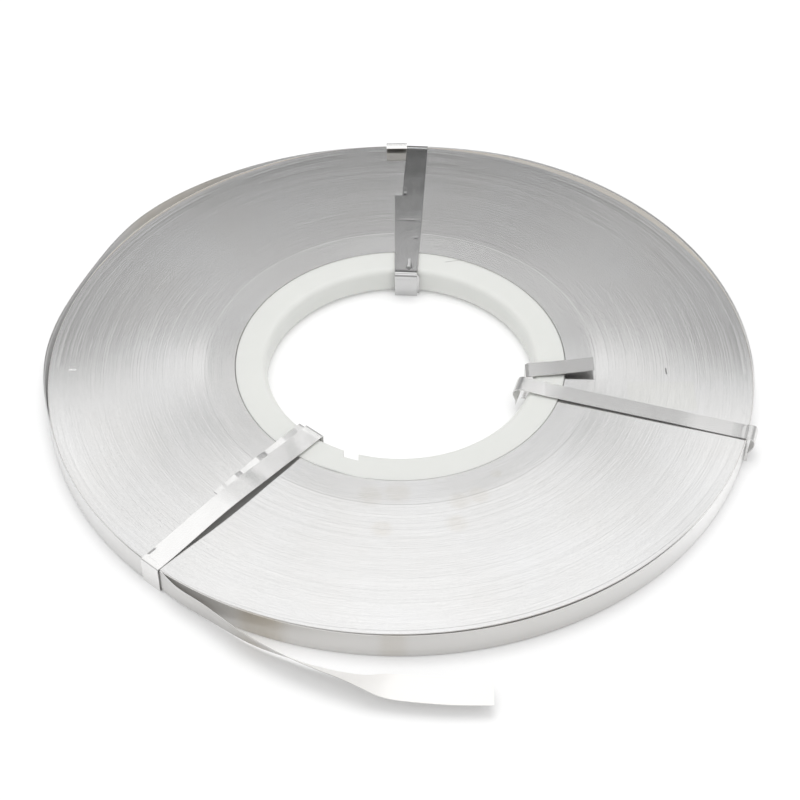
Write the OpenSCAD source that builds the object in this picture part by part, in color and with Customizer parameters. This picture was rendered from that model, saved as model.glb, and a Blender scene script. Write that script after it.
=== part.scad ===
// Flat pancake coil of thin nickel strip, wound on a plastic core ring and held by three strip ties.
// The bore axis is Z, and the origin is on it at half the height of the coil.
// Angles are measured in plan from +X, anticlockwise seen from above.

/* [Strip] */
// Width of the strip, which is the height of the coil
strip_w = 8; // [5:0.5:12]
// Thickness of the strip
strip_t = 0.15; // [0.1:0.05:0.3]

/* [Coil] */
// Outer diameter of the tight turns
coil_d = 200; // [170:5:260]
// Pitch of the ring bands that the turns form on each end
band_pitch = 1.5; // [1.2:0.1:3]
// Depth of the groove between two bands
band_groove = 0.1; // [0.05:0.01:0.2]
// Most that one band stands back from the next
band_step = 0.08; // [0:0.01:0.2]
// Width of the innermost turns, which were wound a little lower
inner_turns_w = 8.5; // [4:0.5:16]
// How much lower the innermost turns are
inner_turns_drop = 0.12; // [0:0.02:0.3]
// Thickness of the last tight turns, outside the gap in the winding
last_turns_t = 0.45; // [0.3:0.05:0.9]
// Width of the gap inside the last tight turns
last_turns_gap = 0.3; // [0.2:0.05:0.6]
// Depth of that gap, from each end
last_turns_gap_depth = 2.5; // [1:0.5:3]

/* [Core ring] */
// Diameter of the bore, for a 3 inch spindle
bore_d = 77; // [72:1:80]
// Wall of the core ring, from the bore to its outside
core_wall = 9; // [6:0.5:14]
// Rounding of the edges of the bore
bore_round = 1.8; // [0.5:0.1:2.5]
// Rounding of the outer edges of the core ring
core_edge = 0.3; // [0.2:0.1:0.6]
// Clearance between the core ring and the innermost turn
core_gap = 0.1; // [0.05:0.05:0.3]

/* [Sprung outer turn] */
// Rise of the outer turn between the right tie and the back tie
rise_right = 2.5; // [1:0.1:2.8]
// Rise of the turn under it
rise_under = 1.2; // [0.6:0.1:1.6]
// Rise behind on the left
rise_back = 3.6; // [1:0.1:3.9]
// Rise on the left
rise_left = 3.1; // [1:0.1:3.9]
// Rise in front of the left side
rise_front = 1.2; // [0.5:0.1:1.5]

/* [Free end] */
// Length of the free end of the strip
tail_l = 94.5; // [60:0.5:120]
// Angle at which the free end leaves the coil
tail_angle = -128.2; // [-128.4:0.1:-120]
// Kink where it leaves the tie
tail_kink = 9.4; // [6:0.1:12]
// Radius of the free end near the tie
tail_r_start = 140; // [100:5:200]
// Radius of the free end at its tip
tail_r_end = 83; // [70:1:140]
// Lean of the strip out of the vertical near the tie
tail_lean_start = 5.7; // [0:0.1:8]
// Lean at the tip, where it lies nearly flat
tail_lean_end = 84; // [70:1:90]
// How late the lean comes along the free end
tail_lean_power = 1.46; // [1:0.02:2]
// Height by which the tip's middle rises
tail_lift = 1.45; // [1:0.05:4]

/* [Ties] */
// Width of the left tie's strip
tie_w = 6.2; // [5:0.1:8]
// Thickness of the tie strip
tie_t = 0.2; // [0.15:0.05:0.3]
// Clearance between a tie and what it is wrapped round
tie_gap = 0.1; // [0.05:0.05:0.2]
// Gap between two layers of a tie
layer_gap = 0.05; // [0.02:0.01:0.1]
// Radius of the folds at the coil's edges
tie_fold = 0.5; // [0.4:0.1:1]
// Plan angle of the back tie
back_angle = 86.5; // [85:0.5:88]
// Sideways place of the back tie from the radial line
back_shift = 0.4; // [0:0.1:1]
// Width of the back tie
back_w = 6.5; // [5:0.1:7]
// Plan angle of its under layer
back_under_angle = 90; // [88:0.5:92]
// Sideways place of that under layer
back_under_shift = -1.75; // [-2.5:0.05:-1]
// Length of its under layer on top of the coil, from the bore to the cut end
back_under_l = 37; // [22:0.5:46]
// Distance that its inner fold stands off the layer in the bore
back_inner_off = 0.6; // [0.5:0.1:1.5]
// Depth of its cut end in the bore
back_flap = 7.5; // [1:0.5:7.5]
// Length of the hooked end of the back tie, on top of the coil
back_hook_l = 6.5; // [4:0.5:9]
// Height of the arch in that hook
back_hook_h = 1.1; // [0.6:0.1:2]
// Gap between that hook and the upper layer beside it
back_hook_gap = 0.4; // [0.2:0.1:2]
// Plan angle of the left tie
left_angle = -130.95; // [-131.5:0.05:-130]
// Sideways place of the left tie from the radial line
left_shift = 1.3; // [0:0.1:1.5]
// Room for the turns under its outer fold
left_pack = 0.5; // [0.4:0.1:1]
// Height by which the left tie bows off the coil
left_bow = 2; // [0.6:0.1:3.5]
// Depth of its cut end in the bore
left_flap = 4.5; // [1:0.5:6]
// Length of its crumpled under layer on top of the coil, from the bore to the cut end
left_under_l = 25.5; // [16:0.5:40]
// Sideways step of that under layer
left_step = 1.9; // [1:0.1:2.5]
// Height of its crumples
left_crumple = 0.9; // [0.3:0.1:1.2]
// Plan angle of the right tie
right_angle = -17; // [-18:0.5:-16]
// Width of the right tie
right_w = 5.6; // [5:0.1:6]
// Sideways place of the right tie from the radial line
right_shift = -0.5; // [-1:0.1:0]
// Distance that the inner fold of the right tie stands off the bore
right_inner_off = 4.2; // [1:0.1:5]
// Distance from the bore at which the right tie dips over the core ring
right_dip_off = 4.5; // [2.5:0.5:7.5]
// How much it dips there
right_dip = 0.5; // [0.2:0.1:1]
// Radius of its inner fold
right_fold = 1.2; // [0.6:0.1:2]
// Height of its cut end in the bore above the coil's lower face
right_flap = 2; // [0.5:0.1:4]
// Distance that the outer loop of the right tie stands off the coil
right_loop_off = 3.6; // [3.2:0.1:5]
// Width of the loop
right_loop_w = 1.6; // [1:0.1:1.8]
// Height of the loop
right_loop_h = 4.4; // [3:0.1:5]
// Height of its top above the tie
right_loop_rise = 0.3; // [0.2:0.1:1]
// Distance that the fold of the loose end stands off the bore
right_end_off = 2.6; // [1:0.1:4]
// Length of the loose end of the right tie, from the bore outwards
right_end_l = 19.5; // [12:0.5:26]
// Height of the cut end of that loose end above the coil
right_end_lift = 1.7; // [0.8:0.1:4]
// Plan angle of the loose end
right_end_angle = 0.5; // [-2:0.5:3]
// Sideways place of the loose end
right_end_shift = -5.4; // [-7:0.1:-4]

/* [Hidden] */

$fn = 180;
half_w = strip_w / 2;
coil_r = coil_d / 2;
bore_r = bore_d / 2;
core_r = bore_r + core_wall;
wind_r = core_r + core_gap;
// Middle lines of a tie against the coil, on top and outside
tie_off = tie_gap + tie_t / 2;
tie_z = half_w + tie_off;
tie_out = coil_r + tie_off;
// Underside of the ties, which the coil stands on
tie_foot = -tie_z - tie_t / 2;
// A tie's stretches under the coil are this much narrower on each side than its upright ones
run_inset = 0.03;
// Facets in a fold of a tie
fold_steps = 5;
// From one layer of a tie to the next
layer_pitch = tie_t + layer_gap;
// Plan angles where the sprung outer turn is held down
hold_front = -42;
hold_right_back = 83;
hold_back = 94;
hold_left = 161;
hold_low_left = 194;
hold_tie_left = 226;
hold_w = 1;
// How much later the turn under it starts, and how much sooner it ends
under_inset = 14;
// Over 1, the highest place of a sprung turn lies past the middle of its stretch
spring_late = 1.3;
// Under 1, a sprung turn leaves the coil more steeply than an arc would
spring_full = 0.7;
spring_full_right = 0.5;
// Plan angle of one facet of the sprung turn
turn_step = 4;
// The strip's edges there lie this much inside the end faces of the coil
edge_inset = 0.02;
// Slope from a band's end face into the groove, at each side, as a share of its pitch
band_lip_share = 1 / 8;
// Angle step that shuffles how far the bands stand back
band_shuffle = 137;
// Facets along the free end, and how far its root sinks into the last tight turn
tail_steps = 36;
tail_root = strip_t / 3;
// Share of the back hook's length that slopes down to its cut end, and its sag where that slope
// starts, as a share of its height
hook_slope = 0.4;
hook_sag = 0.2;
// Flat part of a tie between its fold and its bow or slope, and the facets of the left tie's bow
bow_flat = 1;
bow_steps = 14;
// Flat part between the two crumples, the inner end of the second one, and the facets of each
crumple_flat = 1;
crumple_inner = 3;
crumple_steps = 6;
// Straight part under the right tie's loop, the angles of its facets, and the slope of the dip
loop_flat = 0.6;
loop_a0 = -70;
loop_step = 20;
dip_l = 4;
// Facets of the right tie's inner fold
right_fold_steps = 6;
// Rise of the loose end near its fold and at its middle, as shares of its lift
end_rise_in = 0.3;
end_rise_mid = 0.7;
end_fold_l = 1;

NICKEL = [0.80, 0.80, 0.79];
TIE_NICKEL = [0.86, 0.86, 0.85];
CORE_WHITE = [0.93, 0.94, 0.92];

// Points of an arc about [x, z]
function arc_points(x, z, r, a0, a1, n) =
    [for (i = [0:n]) let (a = a0 + (a1 - a0) * i / n) [x + r * cos(a), z + r * sin(a)]];

// Points of an arched rise from one point to another, level at both ends
function arch_points(p, q, rise, n) =
    [for (i = [0:n]) let (u = i / n) p + (q - p) * u + [0, rise * (1 - cos(360 * u)) / 2]];

function unit(v) = v / norm(v);

// Middle-line direction at point i of a path, and its left-hand normal
function heading(path, i) =
    let (last = len(path) - 1)
    i == 0 ? unit(path[1] - path[0])
    : i == last ? unit(path[last] - path[last - 1])
    : unit(unit(path[i] - path[i - 1]) + unit(path[i + 1] - path[i]));
function left_of(d) = [-d[1], d[0]];

// Outline of a bent strip of thickness t whose middle line is the path
function strip_outline(path, t) =
    let (n = len(path))
    concat(
        [for (i = [0:n - 1]) path[i] + left_of(heading(path, i)) * t / 2],
        [for (i = [n - 1:-1:0]) path[i] - left_of(heading(path, i)) * t / 2]
    );

// A strip bent along a path of [radius, height], set at a plan angle and moved sideways
module strip_run(path, angle, shift = 0, width = tie_w) {
    rotate([0, 0, angle])
        translate([0, shift, 0])
            rotate([90, 0, 0])
                linear_extrude(height = width, center = true)
                    polygon(strip_outline(path, tie_t));
}

// The stretches of a tie that run under the coil. Each goes between the middles of two upright
// stretches, given as [angle, radius, shift].
module under_runs(runs, width = tie_w) {
    function side(end, s) =
        let (a = end[0], y = end[2] + s * (width / 2 - run_inset))
        [end[1] * cos(a) - y * sin(a), end[1] * sin(a) + y * cos(a)];
    translate([0, 0, tie_foot])
        linear_extrude(height = tie_t)
            union()
                for (run = runs)
                    polygon([side(run[0], -1), side(run[1], -1), side(run[1], 1), side(run[0], 1)]);
}

// Height of the end face over the band that starts at radius r
function band_drop(r, i) =
    band_step * (1 + sin(band_shuffle * i)) / 2 + (r < core_r + inner_turns_w ? inner_turns_drop : 0);

// One end face of the winding, as points from the innermost turn out to the gap
function end_face(r0, r1, n) =
    let (pitch = (r1 - r0) / n, lip = pitch * band_lip_share)
    [for (i = [0:n - 1], k = [0:2])
        let (r = r0 + i * pitch, z = half_w - band_drop(r, i))
        k == 0 ? [r + lip, z]
        : k == 1 ? [r + pitch - lip, z]
        : [r + pitch, z - band_groove]];

module tight_turns() {
    gap_r1 = coil_r - last_turns_t;
    gap_r0 = gap_r1 - last_turns_gap;
    count = floor((gap_r0 - wind_r) / band_pitch);
    gap_z = half_w - last_turns_gap_depth;
    face = concat(
        [[wind_r, half_w - inner_turns_drop - band_groove]],
        end_face(wind_r, gap_r0, count),
        [[gap_r0, gap_z], [gap_r1, gap_z], [gap_r1, half_w], [coil_r, half_w]]
    );
    rotate_extrude()
        polygon(concat(face, [for (i = [len(face) - 1:-1:0]) [face[i][0], -face[i][1]]]));
}

// A stretch of the outer turn that springs off the coil between two plan angles
module sprung_turn(a0, a1, rise, late = 1, full = spring_full) {
    root_r = coil_r - strip_t;
    count = ceil((a1 - a0) / turn_step);
    function at(i, side) =
        let (u = i / count, a = a0 + (a1 - a0) * u,
            lift = rise * pow(sin(180 * pow(u, late)), full))
        (root_r + lift + side * strip_t / 2) * [cos(a), sin(a)];
    translate([0, 0, edge_inset - half_w])
        linear_extrude(height = strip_w - 2 * edge_inset)
            polygon(concat([for (i = [0:count]) at(i, 1)], [for (i = [count:-1:0]) at(i, -1)]));
}

// Places along the free end: [x, y, heading, lean, height of the middle]
function tail_heading(s) =
    let (k0 = 1 / tail_r_start, k1 = 1 / tail_r_end)
    tail_angle + 90 - tail_kink + (k0 * s + (k1 - k0) * s * s / (2 * tail_l)) * 180 / PI;
function tail_lean(s) =
    tail_lean_start + (tail_lean_end - tail_lean_start) * pow(s / tail_l, tail_lean_power);
tail_line =
    let (step = tail_l / tail_steps, r = coil_r - tail_root)
    [for (i = 0, p = r * [cos(tail_angle), sin(tail_angle)];
        i <= tail_steps;
        p = p + step * [cos(tail_heading((i + 0.5) * step)), sin(tail_heading((i + 0.5) * step))],
        i = i + 1)
        [p[0], p[1], tail_heading(i * step), tail_lean(i * step), tail_lift * i / tail_steps]];

// The free end: a strip that leaves the tie upright, springs open and turns over until it lies flat
module tail() {
    function ring(q) =
        let (out = [sin(q[2]), -cos(q[2]), 0], up = [0, 0, 1],
            across = up * cos(q[3]) + out * sin(q[3]),
            face = out * cos(q[3]) - up * sin(q[3]),
            mid = [q[0], q[1], q[4]],
            w = half_w - edge_inset, t = strip_t / 2)
        [mid - across * w - face * t, mid - across * w + face * t,
            mid + across * w + face * t, mid + across * w - face * t];
    points = [for (q = tail_line) each ring(q)];
    last = 4 * tail_steps;
    polyhedron(
        points = points,
        faces = concat(
            [[3, 2, 1, 0], [last, last + 1, last + 2, last + 3]],
            // The same diagonal on both sides of the strip keeps its thickness true where it twists
            [for (i = [0:tail_steps - 1], k = [0:3], half = [0, 1])
                let (a = 4 * i + k, b = 4 * i + (k + 1) % 4)
                k < 2 ? (half == 0 ? [a, b, a + 4] : [b, b + 4, a + 4])
                : (half == 0 ? [a, b + 4, a + 4] : [a, b, b + 4])]
        )
    );
}

module nickel_coil() {
    color(NICKEL)
        union() {
            tight_turns();
            sprung_turn(hold_front, hold_right_back, rise_right, spring_late, spring_full_right);
            sprung_turn(hold_front + under_inset, hold_right_back - under_inset, rise_under, spring_late);
            sprung_turn(hold_back, hold_left - hold_w, rise_back, spring_late);
            sprung_turn(hold_left + hold_w, hold_low_left - hold_w, rise_left);
            sprung_turn(hold_low_left + hold_w, hold_tie_left, rise_front);
            tail();
        }
}

module core_ring() {
    color(CORE_WHITE)
        rotate_extrude()
            difference() {
                polygon([[bore_r, -half_w], [core_r - core_edge, -half_w], [core_r, -half_w + core_edge],
                    [core_r, half_w - core_edge], [core_r - core_edge, half_w], [bore_r, half_w]]);
                for (s = [-1, 1])
                    scale([1, s])
                        difference() {
                            translate([bore_r - 1, half_w - bore_round])
                                square([bore_round + 1, bore_round + 1]);
                            translate([bore_r + bore_round, half_w - bore_round])
                                circle(r = bore_round);
                        }
            }
}

// Fold points of a tie where it turns over the outer edge or the edge of the bore
function outer_fold(z, r = tie_out) =
    arc_points(r - tie_fold, z - tie_fold, tie_fold, 0, 90, fold_steps);
function inner_fold(z, r) = arc_points(r + tie_fold, z - tie_fold, tie_fold, 90, 180, fold_steps);

// Middle line of a flat tie in the round bore, where its further corner comes nearest to the wall
function bore_line(shift, width) =
    sqrt(pow(bore_r - tie_gap, 2) - pow(abs(shift) + width / 2, 2)) - tie_t / 2;

module tie_back() {
    upper_z = tie_z + layer_pitch;
    in_r = bore_line(back_under_shift, back_w);
    upper_in = in_r - back_inner_off;
    hook_shift = back_shift + back_w + back_hook_gap;
    hook_z = tie_z + back_hook_h;
    under_in = [back_under_angle, in_r, back_under_shift];
    color(TIE_NICKEL)
        union() {
            // Upper layer, up the outside, over the top and into the bore
            strip_run(concat([[tie_out, tie_foot]], outer_fold(upper_z), inner_fold(upper_z, upper_in),
                [[upper_in, half_w - back_flap]]), back_angle, back_shift, back_w);
            // Under layer, cut off on top of the coil
            strip_run(concat([[bore_r + back_under_l, tie_z]], inner_fold(tie_z, in_r), [[in_r, tie_foot]]),
                back_under_angle, back_under_shift, back_w);
            // Hooked end beside them, which arches over the outer edge
            strip_run(concat([[tie_out, tie_foot]], outer_fold(hook_z),
                [[coil_r - (1 - hook_slope) * back_hook_l, hook_z - hook_sag * back_hook_h],
                    [coil_r - back_hook_l, tie_z]]), back_angle, hook_shift, back_w);
            under_runs([[under_in, [back_angle, tie_out, back_shift]],
                [under_in, [back_angle, tie_out, hook_shift]]], back_w);
        }
}

module tie_left() {
    upper_z = tie_z + layer_pitch;
    in_r = bore_line(left_shift - left_step, tie_w);
    upper_in = in_r - layer_pitch;
    out_r = tie_out + left_pack;
    under_r = bore_r + left_under_l;
    crumple_r = (under_r + core_r) / 2;
    color(TIE_NICKEL)
        union() {
            // Upper layer, which bows off the coil between its folds
            strip_run(concat([[out_r, tie_foot]], outer_fold(tie_z, out_r),
                arch_points([coil_r - bow_flat, tie_z], [bore_r + bow_flat, upper_z], left_bow, bow_steps),
                inner_fold(upper_z, upper_in), [[upper_in, half_w - left_flap]]), left_angle, left_shift);
            // Crumpled under layer at the inner half
            strip_run(concat(
                arch_points([under_r, tie_z], [crumple_r, tie_z], left_crumple, crumple_steps),
                arch_points([crumple_r - crumple_flat, tie_z], [core_r - crumple_inner, tie_z],
                    left_crumple / 2, crumple_steps),
                inner_fold(tie_z, in_r), [[in_r, tie_foot]]), left_angle, left_shift - left_step);
            under_runs([[[left_angle, in_r, left_shift - left_step], [left_angle, out_r, left_shift]]]);
        }
}

module tie_right() {
    riser_r = coil_r + right_loop_off - right_loop_w;
    loop_x = riser_r + tie_t / 2;
    loop_z = tie_z - right_loop_h / 2 + right_loop_rise;
    fold_r = bore_r - right_inner_off;
    end_fold_r = bore_r - right_end_off;
    dip_r = bore_r + right_dip_off;
    color(TIE_NICKEL)
        union() {
            // Main run: up the outside, round the loop, over the top and down inside the bore
            strip_run(concat([[riser_r, tie_foot], [riser_r, loop_z - right_loop_h / 2 - loop_flat]],
                [for (a = [loop_a0:loop_step:90])
                    [loop_x + (right_loop_w - tie_t) * cos(a), loop_z + right_loop_h / 2 * sin(a)]],
                [[coil_r - bow_flat, tie_z], [dip_r + dip_l, tie_z + right_dip], [dip_r, tie_z]],
                arc_points(fold_r + right_fold, tie_z + right_dip - right_fold, right_fold, 90, 180,
                    right_fold_steps),
                [[fold_r + right_fold / 2, -half_w + right_flap]]), right_angle, right_shift, right_w);
            // Loose end, from the bore out over the core ring
            strip_run([[end_fold_r + right_end_l, tie_z + right_end_lift],
                [end_fold_r + right_end_l / 2, tie_z + right_end_lift * end_rise_mid],
                [end_fold_r + end_fold_l, tie_z + right_end_lift * end_rise_in],
                [end_fold_r, tie_z], [end_fold_r, tie_foot]], right_end_angle, right_end_shift, right_w);
            under_runs([[[right_end_angle, end_fold_r, right_end_shift],
                [right_angle, riser_r, right_shift]]], right_w);
        }
}

nickel_coil();
core_ring();
tie_back();
tie_left();
tie_right();
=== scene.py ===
import math
import random

import bmesh
import bpy
from mathutils import Matrix, Vector


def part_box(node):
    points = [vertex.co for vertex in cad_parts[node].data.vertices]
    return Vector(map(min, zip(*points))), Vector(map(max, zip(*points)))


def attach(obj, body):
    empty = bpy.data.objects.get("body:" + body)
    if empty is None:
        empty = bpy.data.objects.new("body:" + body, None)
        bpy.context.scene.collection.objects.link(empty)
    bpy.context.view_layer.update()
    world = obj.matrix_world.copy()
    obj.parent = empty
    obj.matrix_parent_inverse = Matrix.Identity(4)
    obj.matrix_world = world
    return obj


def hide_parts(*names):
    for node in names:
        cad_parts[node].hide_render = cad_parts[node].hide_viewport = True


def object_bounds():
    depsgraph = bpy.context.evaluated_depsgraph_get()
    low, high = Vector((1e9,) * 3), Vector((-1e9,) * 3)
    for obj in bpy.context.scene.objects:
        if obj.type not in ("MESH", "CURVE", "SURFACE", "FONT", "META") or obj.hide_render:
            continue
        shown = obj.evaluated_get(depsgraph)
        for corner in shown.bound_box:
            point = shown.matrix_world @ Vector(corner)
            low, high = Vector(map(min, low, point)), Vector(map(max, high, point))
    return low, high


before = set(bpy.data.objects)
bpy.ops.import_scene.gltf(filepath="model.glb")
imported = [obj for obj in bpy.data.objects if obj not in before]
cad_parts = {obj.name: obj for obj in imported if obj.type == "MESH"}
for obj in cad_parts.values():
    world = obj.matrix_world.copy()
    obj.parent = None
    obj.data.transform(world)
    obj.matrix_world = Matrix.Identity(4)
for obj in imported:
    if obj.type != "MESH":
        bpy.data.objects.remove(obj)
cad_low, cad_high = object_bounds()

MM = 0.001
UP = Vector((0, 0, 1))


def in_mm(corner):
    return Vector(corner) / MM


# ---------------------------------------------------------------- sizes
HALF_W = in_mm(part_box("core_ring")[1]).z  # half the strip's width
CORE_R = in_mm(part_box("core_ring")[1]).x
COIL_R = in_mm(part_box("nickel_coil")[1]).y
FOOT_Z = in_mm(cad_low).z  # underside of the ties, which is the floor

BORE_R = 38.5
STRIP_T = 0.15  # thickness of the coil's strip
TIE_T = 0.2  # thickness of the ties
TIE_Z = HALF_W + 0.2  # middle line of a tie on the coil's top
TIE_FOOT_MID = FOOT_Z + TIE_T / 2 + 0.002  # middle line of a tie under the coil, just off the floor
TAIL_ANGLE = -128.2  # where the free end leaves the coil
INNER_TURNS_R = 56.0  # the turns inside this radius were wound a little lower


# ---------------------------------------------------------------- mesh helpers
def radial(angle):
    a = math.radians(angle)
    return Vector((math.cos(a), math.sin(a), 0))


def smoothstep(x, low=0.0, high=1.0):
    t = min(1.0, max(0.0, (x - low) / (high - low)))
    return t * t * (3 - 2 * t)


def bump_at(x, middle, width):
    """A smooth hill of height 1 about a middle."""
    t = (x - middle) / width
    return math.exp(-t * t)


def catmull_rom(p0, p1, p2, p3, t):
    """The point at t, from 0 at p1 to 1 at p2, on the smooth curve through four points."""
    return 0.5 * (2 * p1 + (p2 - p0) * t + (2 * p0 - 5 * p1 + 4 * p2 - p3) * t * t
                  + (3 * p1 - p0 - 3 * p2 + p3) * t ** 3)


def round_the_coil(stops):
    """A smooth function of the plan angle through (angle, value) stops, repeating every turn. It
    swings past its stops by a small share of their step at most."""
    angles = [a for a, _ in stops]
    values = [v for _, v in stops]
    n = len(stops)
    swing = 0.15

    def value_at(angle):
        angle = (angle - angles[0]) % 360 + angles[0]
        k = max(i for i in range(n) if angles[i] <= angle)
        a1, a2 = angles[k], angles[k + 1] if k + 1 < n else angles[0] + 360
        v0, v1, v2, v3 = (values[(k + j) % n] for j in (-1, 0, 1, 2))
        t = (angle - a1) / (a2 - a1)
        low, high = min(v1, v2), max(v1, v2)
        past = swing * (high - low)
        return min(high + past, max(low - past, catmull_rom(v0, v1, v2, v3, t)))

    return value_at


def make_piece(name, points, faces, material, sharp_angle=30.0, sharp_edges=None):
    """A mesh object from points in millimetres. Edges past sharp_angle, or picked by
    sharp_edges(point, point), stay sharp, and all faces are smooth."""
    mesh = bpy.data.meshes.new(name)
    mesh.from_pydata([Vector(p) * MM for p in points], [], faces)
    mesh.validate()
    work = bmesh.new()
    work.from_mesh(mesh)
    bmesh.ops.recalc_face_normals(work, faces=work.faces)
    limit = math.radians(sharp_angle)
    for face in work.faces:
        face.smooth = True
    for edge in work.edges:
        bent = edge.is_manifold and edge.calc_face_angle(0) > limit
        picked = sharp_edges and sharp_edges(edge.verts[0].co / MM, edge.verts[1].co / MM)
        edge.smooth = not (bent or picked)
    work.to_mesh(mesh)
    work.free()
    piece = bpy.data.objects.new(name, mesh)
    bpy.context.scene.collection.objects.link(piece)
    mesh.materials.append(material)
    return piece


def full_turn(segments):
    return [360 * i / segments for i in range(segments)]


def lathe(name, profile, angles, material, moved=None, sharp_edges=None):
    """A closed profile of (radius, height) turned about Z. moved(angle, r, z) gives a point's own
    radius and height where it isn't a true ring."""
    points = []
    for angle in angles:
        out = radial(angle)
        for r, z in profile:
            if moved:
                r, z = moved(angle, r, z)
            points.append(out * r + UP * z)
    n = len(profile)
    segments = len(angles)
    faces = []
    for i in range(segments):
        a, b = i * n, (i + 1) % segments * n
        for k in range(n):
            m = (k + 1) % n
            faces.append((a + k, b + k, b + m, a + m))
    return make_piece(name, points, faces, material, sharp_edges=sharp_edges)


def ribbon(name, rows, width, thickness, columns, material, relief=None, back_material=None):
    """A strip swept along rows of (centre, across, normal). relief(row, offset) moves a point along
    the normal; the offset is its distance across from the middle line. back_material goes on the
    side away from the normal."""
    count = len(rows)
    points = []
    for side in (0.5, -0.5):
        for i, (centre, across, normal) in enumerate(rows):
            for k in range(columns + 1):
                offset = (k / columns - 0.5) * width
                off = side * thickness + (relief(i, offset) if relief else 0)
                points.append(centre + across * offset + normal * off)
    stride = columns + 1
    under = count * stride
    faces = []
    for i in range(count - 1):
        for k in range(columns):
            a = i * stride + k
            faces.append((a, a + 1, a + 1 + stride, a + stride))
            faces.append((under + a, under + a + stride, under + a + 1 + stride, under + a + 1))
    for i in range(count - 1):
        for k in (0, columns):
            a = i * stride + k
            faces.append((a, a + stride, under + a + stride, under + a))
    for k in range(columns):
        for i in (0, count - 1):
            a = i * stride + k
            faces.append((a, under + a, under + a + 1, a + 1))
    piece = make_piece(name, points, faces, material)
    if back_material:
        piece.data.materials.append(back_material)
        for face in piece.data.polygons:
            if min(face.vertices) >= under:
                face.material_index = 1
    return piece


def arc(centre, r, a0, a1, steps):
    """Points of an arc about (x, z)."""
    found = []
    for i in range(steps + 1):
        a = math.radians(a0 + (a1 - a0) * i / steps)
        found.append((centre[0] + r * math.cos(a), centre[1] + r * math.sin(a)))
    return found


def curve_through(points, step):
    """A smooth curve through the points (Catmull-Rom), as points about one step apart."""
    knots = [Vector(p) for p in points]
    knots = [2 * knots[0] - knots[1]] + knots + [2 * knots[-1] - knots[-2]]
    found = []
    for p0, p1, p2, p3 in zip(knots, knots[1:], knots[2:], knots[3:]):
        pieces = max(1, round((p2 - p1).length / step))
        found += [catmull_rom(p0, p1, p2, p3, i / pieces) for i in range(pieces)]
    return found + [knots[-2]]


def evenly(points, step):
    """The same polyline with its long stretches cut to about one step."""
    found = []
    for p, q in zip(points, points[1:]):
        p, q = Vector(p), Vector(q)
        pieces = max(1, math.ceil((q - p).length / step))
        found += [p.lerp(q, i / pieces) for i in range(pieces)]
    return found + [Vector(points[-1])]


def frame_at(angle):
    """The directions outwards and to the left at a plan angle."""
    out = radial(angle)
    return out, Vector((-out.y, out.x, 0))


def tie_ribbon(name, path, angle, width, material, relief=None, columns=20, under=None):
    """A length of tie along points (radius, shift, height) in the frame of its plan angle.
    relief(radius, offset, height) moves a point along the normal. under is its underside's material."""
    out, left = frame_at(angle)
    places = [out * r + left * shift + UP * z for r, shift, z in path]
    rows = []
    last = len(places) - 1
    for i, place in enumerate(places):
        along = (places[min(i + 1, last)] - places[max(i - 1, 0)]).normalized()
        rows.append((place, left, left.cross(along).normalized()))

    def move(i, offset):
        return relief(path[i][0], offset, path[i][2])

    return ribbon(name, rows, width, TIE_T, columns, material, move if relief else None, under)


def under_run(name, start, end, width, material):
    """The flat length of a tie under the coil, between two of its ends (angle, radius, shift)."""
    ends = []
    for angle, r, shift in (start, end):
        out, left = frame_at(angle)
        ends.append(out * r + left * shift + UP * TIE_FOOT_MID)
    across = UP.cross((ends[1] - ends[0]).normalized())
    steps = 20
    rows = [(ends[0].lerp(ends[1], i / steps), across, UP) for i in range(steps + 1)]
    return ribbon(name, rows, width, TIE_T, 2, material)


def finished(piece, node):
    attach(piece, "root")
    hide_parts(node)


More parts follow.
